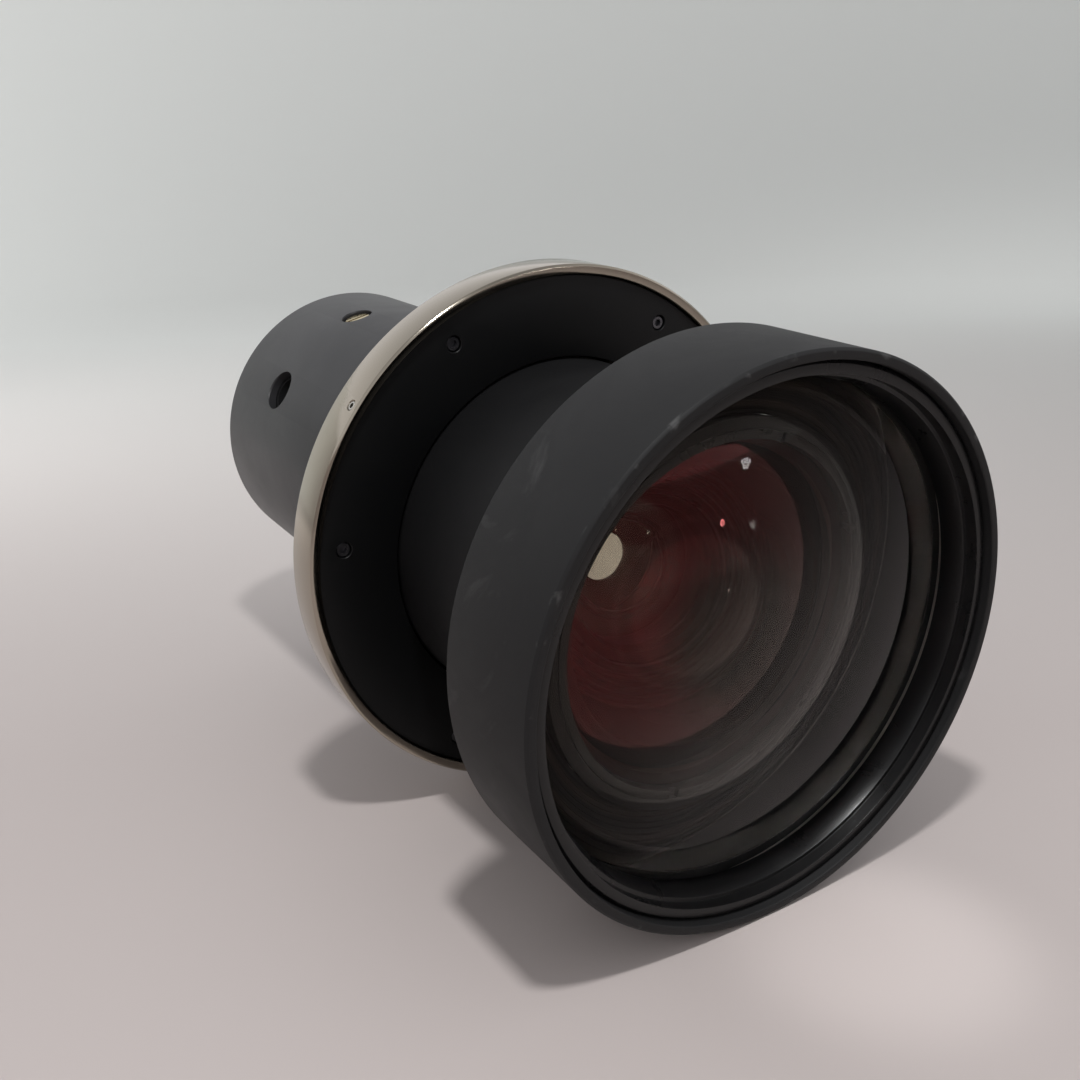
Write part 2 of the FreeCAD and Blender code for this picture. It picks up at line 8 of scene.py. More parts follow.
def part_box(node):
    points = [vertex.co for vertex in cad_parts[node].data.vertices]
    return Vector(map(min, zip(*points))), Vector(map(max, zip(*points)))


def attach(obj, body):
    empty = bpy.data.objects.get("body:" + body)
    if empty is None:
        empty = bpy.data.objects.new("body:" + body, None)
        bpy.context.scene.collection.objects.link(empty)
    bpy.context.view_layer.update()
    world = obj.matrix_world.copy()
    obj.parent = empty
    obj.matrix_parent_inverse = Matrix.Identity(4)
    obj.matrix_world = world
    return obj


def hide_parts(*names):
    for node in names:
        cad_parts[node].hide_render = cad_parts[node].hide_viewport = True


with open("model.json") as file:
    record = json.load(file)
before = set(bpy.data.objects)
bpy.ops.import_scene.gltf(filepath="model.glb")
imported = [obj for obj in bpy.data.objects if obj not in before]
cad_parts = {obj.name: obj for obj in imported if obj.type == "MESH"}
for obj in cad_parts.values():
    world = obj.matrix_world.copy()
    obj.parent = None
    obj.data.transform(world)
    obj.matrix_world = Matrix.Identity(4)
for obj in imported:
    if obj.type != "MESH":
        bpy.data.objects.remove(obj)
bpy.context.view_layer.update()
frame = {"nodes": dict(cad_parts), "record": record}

# The lens lies with its optical axis along Y, the front hood towards -Y.
# A station is a place on that axis and a radius is a distance from it, in metres.
# A clock angle turns about the axis from +Z, positive towards +X, in degrees.
# A curve is the radius of a spherical face, positive where its centre lies further back.
MM = 0.001

# Camera of the photograph, its lens and sensor in millimetres
CAMERA_PLACE = (-0.1880, -0.2988, 0.1289)
CAMERA_RIGHT = (0.8449, -0.5350, 0.0)
CAMERA_FORWARD = (0.4994, 0.7887, -0.3584)
CAMERA_LENS = 39.6
SENSOR_WIDTH = 36.0

# Direction in which the paper's colour is painted whiter, as painted light that grows away from the camera,
# along the floor
PAINTED_LIGHT_DIRECTION = (0.535, 0.845, 0)

# The spot lamp, and the place on the floor in front of the hood that it lights
SPOT_PLACE = (0.06, -0.22, 0.4)
SPOT_TARGET = (0.014, -0.14, -0.0745)

# Steps of a turned piece, of the barrel's holes and their screws, and of the smaller ones
SEGMENTS = 256
HOLE_SEGMENTS = 64
SMALL_SEGMENTS = 48

# Angle from which an edge counts as sharp, and the steps across one that is broken
EDGE_ANGLE = math.radians(30)
EDGE_STEPS = 2

# Steps of a spherical face from the axis to its edge, and how straight a flat's normal is
FACE_STEPS = 40
FLAT_NORMAL = 0.9999

# Distance under which two points count as one
WELD = 1e-6

# Chamfer of the hood's rims, and the sizes of chips, marks and patches on the metals
HOOD_CHAMFER = 0.7 * MM
CHIP_SIZE = 5 * MM
TOOL_MARK = 0.6 * MM
MARK_DEPTH = 0.1 * MM
SHINE_PATCH = 18 * MM
HANDLING_MARK = 1.5 * MM

# Index of the optical glass, and the distances from the axis between which its coating thins
GLASS_INDEX = 1.62
COATING_EVEN_TO = 12 * MM
COATING_THIN_FROM = 32 * MM

# How far a drill or a socket's tool goes past a face
PAST = 1 * MM

# Clearances, the barrel's wall and the screw places, as the frame's own pieces have them
FIT = 0.1 * MM
SLIP = 0.15 * MM
BARREL_WALL = 3.0 * MM
FACE_SCREW_CLOCKS = (-83.0, -29.0, 31.0, 97.0, 151.0, 211.0)
FACE_SCREW_CIRCLE = 70.9 * MM
RIM_SCREW_CLOCKS = (-53.2, 66.8, 186.8)
RIM_SCREW_STATION = -10.0 * MM
HOLE_STATION = 101.9 * MM
CENTRING_CLOCKS = (-14.6, 105.4, 225.4)
LOCKING_CLOCKS = (-58.8, 61.2, 181.2)

# Material slot of each node of the frame
SLOTS = {entry["node"]: entry["material_slot"] for entry in frame["record"]["subparts"]}


def reach(node):
    """Front station, rear station and outer radius of a node of the frame."""
    low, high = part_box(node)
    return low[1], high[1], max(high[0], high[2])


# Building pieces


def traced(name, points):
    """Starts a piece as a line through points, and leaves it open in edit mode."""
    bpy.ops.object.select_all(action="DESELECT")
    bpy.ops.mesh.primitive_plane_add(size=MM)
    piece = bpy.context.object
    piece.name = piece.data.name = name
    bpy.ops.object.mode_set(mode="EDIT")
    bpy.ops.mesh.merge(type="CENTER")
    bpy.ops.transform.translate(value=points[0])
    for point, following in zip(points, points[1:]):
        step = [end - start for start, end in zip(point, following)]
        bpy.ops.mesh.extrude_vertices_move(TRANSFORM_OT_translate={"value": step})
    return piece


def welded():
    """Welds doubled points of the open mesh, and leaves all of it selected."""
    bpy.ops.mesh.select_all(action="SELECT")
    bpy.ops.mesh.remove_doubles(threshold=WELD)
    bpy.ops.mesh.select_all(action="SELECT")


def spun(axis, steps, inside=False):
    """Spins the open line once round an axis through the origin, its faces looking outwards or inside."""
    welded()
    bpy.ops.mesh.spin(steps=steps, angle=2 * math.pi, center=(0, 0, 0), axis=axis)
    welded()
    bpy.ops.mesh.normals_make_consistent(inside=inside)


def turned(name, outline, edge=0.0, segments=SEGMENTS):
    """Solid turned about the optical axis from (station, radius) points of its half section."""
    points = [(radius, station, 0) for station, radius in outline]
    if outline[0][1] > 0:
        points.append(points[0])
    piece = traced(name, points)
    spun((0, 1, 0), segments)
    bpy.ops.object.mode_set(mode="OBJECT")
    if edge:
        bevelled(piece, edge)
    smoothed(piece)
    return piece


def picked(piece):
    """Selects one piece alone."""
    bpy.ops.object.select_all(action="DESELECT")
    piece.select_set(True)
    bpy.context.view_layer.objects.active = piece


def smoothed(piece):
    """Shades a piece smooth, up to its sharp edges."""
    picked(piece)
    bpy.ops.object.shade_smooth_by_angle(angle=EDGE_ANGLE)


def bevelled(piece, width):
    """Breaks a piece's sharp edges by a width, as a turned edge is broken."""
    bpy.context.view_layer.objects.active = piece
    modifier = piece.modifiers.new("broken_edges", "BEVEL")
    modifier.width = width
    modifier.segments = EDGE_STEPS
    modifier.limit_method = "ANGLE"
    modifier.angle_limit = EDGE_ANGLE
    bpy.ops.object.modifier_apply(modifier=modifier.name)


def cut(piece, tool):
    """Cuts a tool's shape out of a piece, and removes the tool."""
    bpy.context.view_layer.objects.active = piece
    modifier = piece.modifiers.new("cut", "BOOLEAN")
    modifier.operation = "DIFFERENCE"
    modifier.solver = "EXACT"
    modifier.object = tool
    bpy.ops.object.modifier_apply(modifier=modifier.name)
    bpy.data.objects.remove(tool)


def edited(piece):
    """Opens a piece in edit mode with all of its mesh selected."""
    picked(piece)
    bpy.ops.object.mode_set(mode="EDIT")
    bpy.ops.mesh.select_all(action="SELECT")


def shifted(piece, offset):
    """Moves a piece's mesh, and leaves the object at the origin."""
    edited(piece)
    bpy.ops.transform.translate(value=offset)
    bpy.ops.object.mode_set(mode="OBJECT")


def rotate(degrees, axis):
    """Turns what is selected in edit mode about an axis; the operator counts the other way."""
    bpy.ops.transform.rotate(value=-math.radians(degrees), orient_axis=axis, center_override=(0, 0, 0))


def turned_by(piece, degrees, axis):
    """Turns a piece's mesh about an axis through the origin."""
    edited(piece)
    rotate(degrees, axis)
    bpy.ops.object.mode_set(mode="OBJECT")


def at_clocks(piece, clocks):
    """Turns a piece from the top to its first clock angle, and copies it to the others."""
    edited(piece)
    at = 0
    for place, clock in enumerate(clocks):
        if place:
            bpy.ops.mesh.duplicate()
        rotate(clock - at, "Y")
        at = clock
    bpy.ops.object.mode_set(mode="OBJECT")


def upright(piece, station):
    """Stands a piece that was turned along Y at the top of the lens, pointing outwards."""
    turned_by(piece, 90, "X")
    shifted(piece, (0, station, 0))


def radial_holes(piece, outline, station, clocks, segments):
    """Drills a piece from outside at a station, with a drill of (distance from axis, radius) points."""
    drill = turned("drill", outline, segments=segments)
    upright(drill, station)
    at_clocks(drill, clocks)
    cut(piece, drill)


def hexagon(name, across, start, end):
    """Hexagonal prism along Y, that cuts a socket."""
    corner_radius = across / 2 / math.cos(math.pi / 6)
    bpy.ops.object.select_all(action="DESELECT")
    bpy.ops.mesh.primitive_cylinder_add(vertices=6, radius=corner_radius, depth=end - start)
    piece = bpy.context.object
    piece.name = piece.data.name = name
    turned_by(piece, 90, "X")
    shifted(piece, (0, (start + end) / 2, 0))
    return piece


def block(name, size, middle):
    """Box with its sides along the axes."""
    bpy.ops.object.select_all(action="DESELECT")
    bpy.ops.mesh.primitive_cube_add(size=1)
    piece = bpy.context.object
    piece.name = piece.data.name = name
    edited(piece)
    bpy.ops.transform.resize(value=size)
    bpy.ops.transform.translate(value=middle)
    bpy.ops.object.mode_set(mode="OBJECT")
    return piece


def stands_for(piece, node, material):
    """Makes a piece take the place of a node of the frame."""
    piece.data.materials.clear()
    piece.data.materials.append(material)
    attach(piece, "root")
    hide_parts(node)


def sag(curve, radius):
    """Depth of a spherical face at a radius; its sign is that of the curve."""
    return curve - math.copysign(math.sqrt(curve ** 2 - radius ** 2), curve)


def face_points(vertex, curve, edge):
    """Points of a spherical face from the axis to its edge radius."""
    radii = [edge * step / FACE_STEPS for step in range(FACE_STEPS + 1)]
    return [(vertex + sag(curve, radius), radius) for radius in radii]


def lens(node, front, back, glass, ground):
    """Glass element: each polished face has a station, a curve and the width of its ground land."""
    radius = reach(node)[2]
    front_station, front_curve, front_land = front
    back_station, back_curve, back_land = back
    front_edge = radius - front_land
    back_edge = radius - back_land
    front_face = face_points(front_station, front_curve, front_edge)
    back_face = face_points(back_station, back_curve, back_edge)
    front_rim, back_rim = front_face[-1][0], back_face[-1][0]
    outline = front_face + [(front_rim, radius), (back_rim, radius)] + back_face[::-1]
    piece = turned(node + "_element", outline)
    stands_for(piece, node, glass)
    piece.data.materials.append(ground)
    for polygon in piece.data.polygons:
        station = polygon.center.y
        on_rim = math.hypot(polygon.center.x, polygon.center.z) > max(front_edge, back_edge)
        from_rims = min(abs(station - front_rim), abs(station - back_rim))
        on_flat = abs(polygon.normal.y) > FLAT_NORMAL and from_rims < WELD
        if on_rim or on_flat:
            polygon.material_index = 1


# Materials


def colour(hexes):
    """Linear colour from an sRGB hex value."""
    parts = [int(hexes[place:place + 2], 16) / 255 for place in (1, 3, 5)]
    return [part / 12.92 if part <= 0.04045 else ((part + 0.055) / 1.055) ** 2.4 for part in parts] + [1]


def add(material, kind, settings=None, links=None):
    """Adds a shader node with its settings, and with values or links for its sockets."""
    tree = material.node_tree
    made = tree.nodes.new("ShaderNode" + kind)
    for name, value in (settings or {}).items():
        setattr(made, name, value)
    for name, value in (links or {}).items():
        if isinstance(value, bpy.types.NodeSocket):
            tree.links.new(value, made.inputs[name])
        else:
            made.inputs[name].default_value = value
    return made


def new_material(name):
    """Empty material."""
    material = bpy.data.materials.new(name)
    material.use_nodes = True
    material.node_tree.nodes.clear()
    return material


def surface(material, shader):
    """Links a shader to the material's output."""
    output = add(material, "OutputMaterial")
    material.node_tree.links.new(shader.outputs[0], output.inputs["Surface"])
    return material


def turned_place(material):
    """Place on a turned piece, with its station on the optical axis and its distance from it."""
    place = add(material, "TexCoord").outputs["Object"]
    parts = add(material, "SeparateXYZ", {}, {"Vector": place})
    flat = add(material, "CombineXYZ", {}, {"X": parts.outputs["X"], "Z": parts.outputs["Z"]})
    distance = add(material, "VectorMath", {"operation": "LENGTH"}, {"Vector": flat.outputs["Vector"]})
    return place, parts.outputs["Y"], distance.outputs["Value"]


def chipped_rims(material, wear_or_ring_share, place, station, distance, rims):
    """Adds chips to the share of the rubbed colour, within a width of each rim's radius and station."""
    chips = add(material, "TexNoise", {}, {"Vector": place, "Scale": 1 / CHIP_SIZE, "Detail": 4.0})
    chipped = add(material, "MapRange", {}, {
        "Value": chips.outputs["Fac"], "From Min": 0.6, "From Max": 0.68, "To Max": 0.4})
    point = add(material, "CombineXYZ", {}, {"X": distance, "Y": station})
    for radius, rim_station, width in rims:
        away = add(material, "VectorMath", {"operation": "DISTANCE"}, {
            0: point.outputs["Vector"], 1: (radius, rim_station, 0)})
        near = add(material, "MapRange", {}, {
            "Value": away.outputs["Value"], "From Min": width * 0.3, "From Max": width,
            "To Min": 1.0, "To Max": 0.0})
        chip = add(material, "Math", {"operation": "MULTIPLY"}, {
            0: near.outputs["Result"], 1: chipped.outputs["Result"]})
        wear_or_ring_share = add(material, "Math", {"operation": "MAXIMUM"}, {
            0: wear_or_ring_share, 1: chip.outputs["Value"]}).outputs["Value"]
    return wear_or_ring_share


def pale_and_dark_rings(material, distance, pitch):
    """Share of the paler colour in rings at a pitch round the axis, which on the baffle is painted
    highlight on ridges beside painted shade in grooves; a dark ring is a little broader than a pale one.
    """
    phase = add(material, "Math", {"operation": "MULTIPLY"}, {0: distance, 1: 2 * math.pi / pitch})
    wave = add(material, "Math", {"operation": "SINE"}, {0: phase.outputs["Value"]})
    rings = add(material, "MapRange", {"interpolation_type": "SMOOTHSTEP"}, {
        "Value": wave.outputs["Value"], "From Min": -0.3, "From Max": 0.9})
    return rings.outputs["Result"]


def dull_finish(name, base, worn_or_pale_ring, roughness, gloss, grain=0.3 * MM, bump=0.0,
                scuffs=0.1, scuff_size=20 * MM, rims=(), pitch=0):
    """Matte or satin surface: a fine grain, lighter scuffs, chips along rims, or pale and dark rings."""
    material = new_material(name)
    place, station, distance = turned_place(material)
    fine = add(material, "TexNoise", {}, {"Vector": place, "Scale": 1 / grain, "Detail": 3.0})
    cloud = add(material, "TexNoise", {}, {
        "Vector": place, "Scale": 1 / scuff_size, "Detail": 8.0, "Roughness": 0.65, "Distortion": 0.6})
    scuffed = add(material, "MapRange", {}, {
        "Value": cloud.outputs["Fac"], "From Min": 0.6, "From Max": 0.8, "To Max": scuffs})
    wear_or_ring_share = scuffed.outputs["Result"]
    if rims:
        wear_or_ring_share = chipped_rims(material, wear_or_ring_share, place, station, distance, rims)
    if pitch:
        # On the baffle these rings are painted light: painted highlight on ridges, painted shade in grooves
        wear_or_ring_share = pale_and_dark_rings(material, distance, pitch)
    tint = add(material, "Mix", {"data_type": "RGBA"}, {"Factor": wear_or_ring_share, 6: colour(base), 7: colour(worn_or_pale_ring)})
    rough = add(material, "MapRange", {}, {
        "Value": cloud.outputs["Fac"], "From Min": 0.3, "From Max": 0.7,
        "To Min": roughness - 0.05, "To Max": roughness + 0.05})
    height = add(material, "Bump", {}, {
        "Strength": bump, "Distance": grain, "Height": fine.outputs["Fac"]})
    shader = add(material, "BsdfPrincipled", {}, {
        "Base Color": tint.outputs[2], "Roughness": rough.outputs["Result"],
        "Specular IOR Level": gloss, "Normal": height.outputs["Normal"]})
    return surface(material, shader)


def coated_glass(name, body, coating, rim_coating, reflecting=1.0):
    """Optical glass under a coating that tints what it reflects, and reflects only a share of it."""
    material = new_material(name)
    distance = turned_place(material)[2]
    thinned = add(material, "MapRange", {"interpolation_type": "SMOOTHSTEP"}, {
        "Value": distance, "From Min": COATING_EVEN_TO, "From Max": COATING_THIN_FROM})
    middle, rim = [
        add(material, "BsdfPrincipled", {}, {
            "Base Color": colour(body), "Roughness": 0.0, "IOR": GLASS_INDEX,
            "Transmission Weight": 1.0, "Specular Tint": colour(tint)})
        for tint in (coating, rim_coating)]
    coated = add(material, "MixShader", {}, {
        0: thinned.outputs["Result"], 1: middle.outputs["BSDF"], 2: rim.outputs["BSDF"]})
    clear = add(material, "BsdfRefraction", {}, {
        "Color": colour(body), "Roughness": 0.0, "IOR": GLASS_INDEX})
    shader = add(material, "MixShader", {}, {
        0: reflecting, 1: clear.outputs["BSDF"], 2: coated.outputs["Shader"]})
    return surface(material, shader)


def nickel_plate(name, base, smoothest, roughest):
    """Nickel plate over turned metal: its shine varies from place to place, and it has faint tool marks."""
    material = new_material(name)
    place = add(material, "TexCoord").outputs["Object"]
    marks = add(material, "TexNoise", {}, {"Vector": place, "Scale": 1 / TOOL_MARK, "Detail": 2.0})
    cloud = add(material, "TexNoise", {}, {"Vector": place, "Scale": 1 / SHINE_PATCH, "Detail": 4.0})
    rough = add(material, "MapRange", {}, {
        "Value": cloud.outputs["Fac"], "From Min": 0.3, "From Max": 0.7,
        "To Min": smoothest, "To Max": roughest})
    height = add(material, "Bump", {}, {
        "Strength": 0.05, "Distance": MARK_DEPTH, "Height": marks.outputs["Fac"]})
    shader = add(material, "BsdfPrincipled", {}, {
        "Base Color": colour(base), "Metallic": 1.0,
        "Roughness": rough.outputs["Result"], "Normal": height.outputs["Normal"]})
    return surface(material, shader)


def screw_metal(name, base, roughness):
    """Metal of a small screw, with faint handling marks in its shine."""
    material = new_material(name)
    place = add(material, "TexCoord").outputs["Object"]
    marks = add(material, "TexNoise", {}, {"Vector": place, "Scale": 1 / HANDLING_MARK, "Detail": 3.0})
    rough = add(material, "MapRange", {}, {
        "Value": marks.outputs["Fac"], "From Min": 0.3, "From Max": 0.7,
        "To Min": roughness - 0.06, "To Max": roughness + 0.06})
    shader = add(material, "BsdfPrincipled", {}, {
        "Base Color": colour(base), "Metallic": 1.0, "Roughness": rough.outputs["Result"]})
    return surface(material, shader)


# Radius, station and width of each rim where the hood's finish is chipped
hood_front, hood_rear, hood_radius = reach("front_hood")
hood_rims = (
    (hood_radius - HOOD_CHAMFER, hood_front, 1.0 * MM),
    (hood_radius, hood_front + HOOD_CHAMFER, 0.8 * MM),
    (hood_radius - HOOD_CHAMFER / 2, hood_rear - HOOD_CHAMFER / 2, 0.8 * MM))

# Blasted and anodised aluminium: dull and grainy, paler where it is rubbed, and chipped along its rims;
# here and below, the grain is drawn coarser than a real one, so that it shows
hood_black = dull_finish(
    "blasted_black_aluminium", "#19191a", "#606060", roughness=0.6, gloss=0.3, grain=0.25 * MM,
    bump=0.15, scuffs=0.45, scuff_size=26 * MM, rims=hood_rims)

# Finely turned and anodised aluminium: deep black, smooth enough for a clear line of light
ring_black = dull_finish(
    "turned_black_anodising", "#0d0d0e", "#2a2a2a", roughness=0.3, gloss=0.35, bump=0.04, scuffs=0.15)

# Optical black over turned rings: hardly any shine; the rings are painted, paler on the ridges as painted
# highlight and darker in the grooves as painted shade, and drawn coarser than real ones, so that they show
baffle_black = dull_finish(
    "optical_black_painted_ring_shade", "#080707", "#2b2623", roughness=0.6, gloss=0.12, pitch=4.6 * MM)

# Black anodising painted red-brown: a painted reflection that stands in for the warm red glow the coatings
# throw round the third glass
spacer_painted_red_glow = dull_finish("black_anodising_painted_red_glow", "#451f1f", "#522827", roughness=0.5, gloss=0.3)

# Plain black anodising deep inside the lens: even and matte
inner_black = dull_finish("inner_black_anodising", "#1b1918", "#2a2624", roughness=0.55, gloss=0.3)

# Satin black anodising: fine grain, and few scuffs because the hood and flange guard it
tube_black = dull_finish(
    "satin_black_anodising", "#171718", "#242424", roughness=0.5, gloss=0.25, grain=0.25 * MM,
    bump=0.06, scuffs=0.2, scuff_size=25 * MM)

# Flat black coat: the darkest face outside, with a faint sheen at a low angle
plate_black = dull_finish(
    "flat_black_coat", "#0a0b0c", "#181412", roughness=0.45, gloss=0.26, grain=0.25 * MM,
    bump=0.04, scuffs=0.3, scuff_size=40 * MM)

# Satin grey anodising: paler than the hood, with a broad soft highlight along the barrel
barrel_grey = dull_finish(
    "satin_grey_anodising", "#303032", "#3a3a3c", roughness=0.42, gloss=0.35, grain=0.2 * MM,
    bump=0.03, scuffs=0.2, scuff_size=50 * MM)

# Black anodising of the carrier: grainier than the barrel round it
carrier_black = dull_finish(
    "carrier_black_anodising", "#161617", "#262626", roughness=0.5, gloss=0.3, bump=0.05)

# Ground edge of the front glass, left bare: white and rough, it lifts the rim seen through the polish
ground_white = dull_finish(
    "bare_ground_glass", "#cdc6c2", "#d8d2ce", roughness=0.7, gloss=0.2, scuff_size=10 * MM)

# Ground edge of the other glasses under black lacquer: faint rings are left from the grinding
ground_black = dull_finish(
    "blackened_ground_glass", "#0a0808", "#1c1817", roughness=0.7, gloss=0.1, scuff_size=10 * MM,
    pitch=3.1 * MM)

# Black oxide on steel: dark metal with a blurred highlight
screw_black = screw_metal("black_oxide_steel", "#66666a", 0.4)

# Bright steel: pale, with a fairly sharp highlight
screw_steel = screw_metal("bright_steel", "#b9b6b0", 0.25)

# Plated brass: pale yellow, with a fairly sharp highlight
screw_bright = screw_metal("plated_brass", "#c9bb94", 0.28)

# Satin nickel plate over turning: a warm, slightly blurred mirror; its tool marks are drawn coarser
# than real ones, so that they show
flange_nickel = nickel_plate("satin_nickel_plate", "#a69e91", 0.08, 0.17)

# Front glass, several coats: a dark neutral reflection, so the rings behind it stay in view
front_glass_body = coated_glass("front_glass_many_coats", "#f2f0ec", "#5e5856", "#5e5856", 0.7)

# Second glass, steep, its single coat thin at the rim: neutral in the middle and red round it
red_glass_body = coated_glass("second_glass_red_coat", "#f2e8e6", "#8a7c78", "#ff787e")

# Inner glasses, single coat: a plain pale reflection with a trace of green
inner_glass_body = coated_glass("inner_glass_pale_coat", "#f4f0ea", "#9aa29c", "#9aa29c")

# Rear glass, several coats: a blue reflection
rear_glass_body = coated_glass("rear_glass_blue_coat", "#eef2f4", "#5a6a80", "#4a5a78")


# Front hood and its rings


def make_front_hood():
    """Wide hood with a thin rim, a glass bore and a back wall."""
    front, rear, radius = reach("front_hood")
    ring_rear, ring_radius = reach("front_retaining_ring")[1:]
    glass_rear = reach("front_glass")[1]
    baffle_rear = reach("stepped_baffle")[1]
    chamfer = HOOD_CHAMFER
    bore = ring_radius + FIT
    lead_in = 0.3 * MM
    seat = ring_rear + 0.8 * MM
    glass_bore = reach("front_glass")[2] + FIT
    baffle_bore = reach("stepped_baffle")[2] + SLIP
    tube_bore = reach("middle_tube")[2] + FIT
    outline = [
        (front, bore + lead_in), (front, radius - chamfer), (front + chamfer, radius),
        (rear - chamfer, radius), (rear, radius - chamfer), (rear, tube_bore),
        (baffle_rear, tube_bore), (baffle_rear, baffle_bore),
        (glass_rear, baffle_bore), (glass_rear, glass_bore),
        (seat, glass_bore), (seat, bore), (front + lead_in, bore)]
    stands_for(turned("hood", outline, edge=0.15 * MM), "front_hood", hood_black)


def make_front_ring():
    """Black retaining ring, stepped inwards to the front glass."""
    front, rear, radius = reach("front_retaining_ring")
    lip = radius - 3.4 * MM
    step = front + 3.4 * MM
    step_bore = lip - 1.1 * MM
    chamfer = 1.0 * MM
    bore = reach("front_glass")[2] - 2.6 * MM
    outline = [
        (front, lip), (front, radius - chamfer), (front + chamfer, radius),
        (rear, radius), (rear, bore), (step, step_bore), (step, lip)]
    stands_for(turned("front_ring", outline, edge=0.12 * MM), "front_retaining_ring", ring_black)


def make_baffle():
    """Blackened ring behind the front glass, its bore closing in steps."""
    front, rear, radius = reach("stepped_baffle")
    tube = reach("middle_tube")[2]
    steps = 8
    land = 0.3 * MM
    front_bore = radius - 1.4 * MM
    rear_bore = tube + 1.1 * MM
    rise = (front_bore - rear_bore) / steps
    run = (rear - front) / steps
    outline = [(front, radius), (front, front_bore)]
    for step in range(steps):
        bore = front_bore - rise * step
        end = front + run * (step + 1) - land
        outline += [(end, bore), (end, bore - rise)]
    outline += [(rear, rear_bore), (rear, radius)]
    stands_for(turned("baffle", outline, edge=0.06 * MM), "stepped_baffle", baffle_black)


def make_second_ring():
    """Thin ring in front of the second glass, with two spanner slots."""
    front, rear, radius = reach("second_retaining_ring")
    bore = radius - 2.3 * MM
    slot_width, slot_depth, slot_clock = 3.0 * MM, 1.2 * MM, 17
    outline = [(front, bore), (front, radius), (rear, radius), (rear, bore)]
    ring = turned("second_ring", outline, edge=0.1 * MM)
    slot = block("slot", (slot_width, 2 * slot_depth, 2.1 * radius), (0, front, 0))
    turned_by(slot, slot_clock, "Y")
    cut(ring, slot)
    smoothed(ring)
    stands_for(ring, "second_retaining_ring", ring_black)


def make_spacer():
    """Conical spacer behind the second glass, its tapered bore cut with grooves."""
    front, rear, radius = reach("conical_spacer")
    grooves = 7
    depth = 0.4 * MM
    front_bore = radius - 7.3 * MM
    rear_bore = reach("third_glass")[2] + 1.0 * MM
    pitch = (rear - front) / grooves
    taper = (front_bore - rear_bore) / grooves
    outline = [(front, radius)]
    for groove in range(grooves):
        start = front + pitch * groove
        middle, end = start + pitch / 2, start + pitch
        bore = front_bore - taper * groove
        outline += [(start, bore), (middle, bore), (middle, bore + depth), (end, bore + depth)]
    outline.append((rear, radius))
    # The spacer's red-brown is a painted reflection of the coatings' red glow
    stands_for(turned("spacer", outline, edge=0.08 * MM), "conical_spacer", spacer_painted_red_glow)


# Glass elements


def make_glasses():
    """The seven elements, from the front to the rear."""
    front = reach("front_glass")[0]
    lens("front_glass", (front, 200 * MM, 0.6 * MM), (front + 9 * MM, 138 * MM, 3.4 * MM),
         front_glass_body, ground_white)
    front = reach("second_glass")[0]
    lens("second_glass", (front, 125 * MM, 0.6 * MM), (front + 6 * MM, 49.4 * MM, 12.4 * MM),
         red_glass_body, ground_black)
    front = reach("third_glass")[0]
    lens("third_glass", (front, 436 * MM, 1.4 * MM), (front + 5 * MM, 80 * MM, 5.4 * MM),
         inner_glass_body, ground_black)
    front = reach("fourth_glass")[0]
    lens("fourth_glass", (front, 35.9 * MM, 3.0 * MM), (front + 14 * MM, 82.8 * MM, 3.6 * MM),
         inner_glass_body, ground_black)
    rim, _, radius = reach("fifth_glass")
    curve, land = -20 * MM, 4.4 * MM
    front = rim - sag(curve, radius - land)
    lens("fifth_glass", (front, curve, land), (front + 6 * MM, -37.7 * MM, 2.0 * MM),
         inner_glass_body, ground_black)
    rear = reach("sixth_glass")[1]
    lens("sixth_glass", (rear - 9 * MM, -226 * MM, 1.4 * MM), (rear, -45.7 * MM, 1.4 * MM),
         inner_glass_body, ground_black)
    front, rear = reach("rear_glass")[:2]
    lens("rear_glass", (front, 126 * MM, 2.0 * MM), (rear, -216 * MM, 2.0 * MM),
         rear_glass_body, ground_black)


# Middle tube, flange and face plate


def make_tube():
    """Middle tube between hood and flange."""
    front, rear, radius = reach("middle_tube")
    bore = radius - 3.1 * MM
    shoulder = bore - 3.6 * MM
    thread_bore = radius - 3.5 * MM
    thread = rear - 12.0 * MM
    cell = reach("third_glass_cell")[1]
    outline = [(front, bore), (front, radius), (rear, radius), (rear, thread_bore),
               (thread, thread_bore), (thread, shoulder), (cell, shoulder), (cell, bore)]
    stands_for(turned("tube", outline, edge=0.15 * MM), "middle_tube", tube_black)


def make_flange():
    """Nickel ring with a web behind the face plate, drilled for the rim screws."""
    front, rear, radius = reach("flange_ring")
    rim = radius - 2.9 * MM
    web = reach("flange_face_plate")[1]
    bore = reach("rear_barrel")[2] - 1.95 * MM
    chamfer = 0.6 * MM
    outline = [
        (front, rim + chamfer / 2), (front, radius - chamfer), (front + chamfer, radius),
        (rear - chamfer, radius), (rear, radius - chamfer), (rear, bore),
        (web, bore), (web, rim), (front + chamfer / 2, rim)]
    ring = turned("flange", outline, edge=0.1 * MM)
    hole, sink = 1.5 * MM, 0.25 * MM
    drill = [
        (rim - PAST, 0), (rim - PAST, hole), (radius - sink, hole),
        (radius + sink, hole + 2 * sink), (radius + sink, 0)]
    radial_holes(ring, drill, RIM_SCREW_STATION, RIM_SCREW_CLOCKS, SMALL_SEGMENTS)
    smoothed(ring)
    stands_for(ring, "flange_ring", flange_nickel)


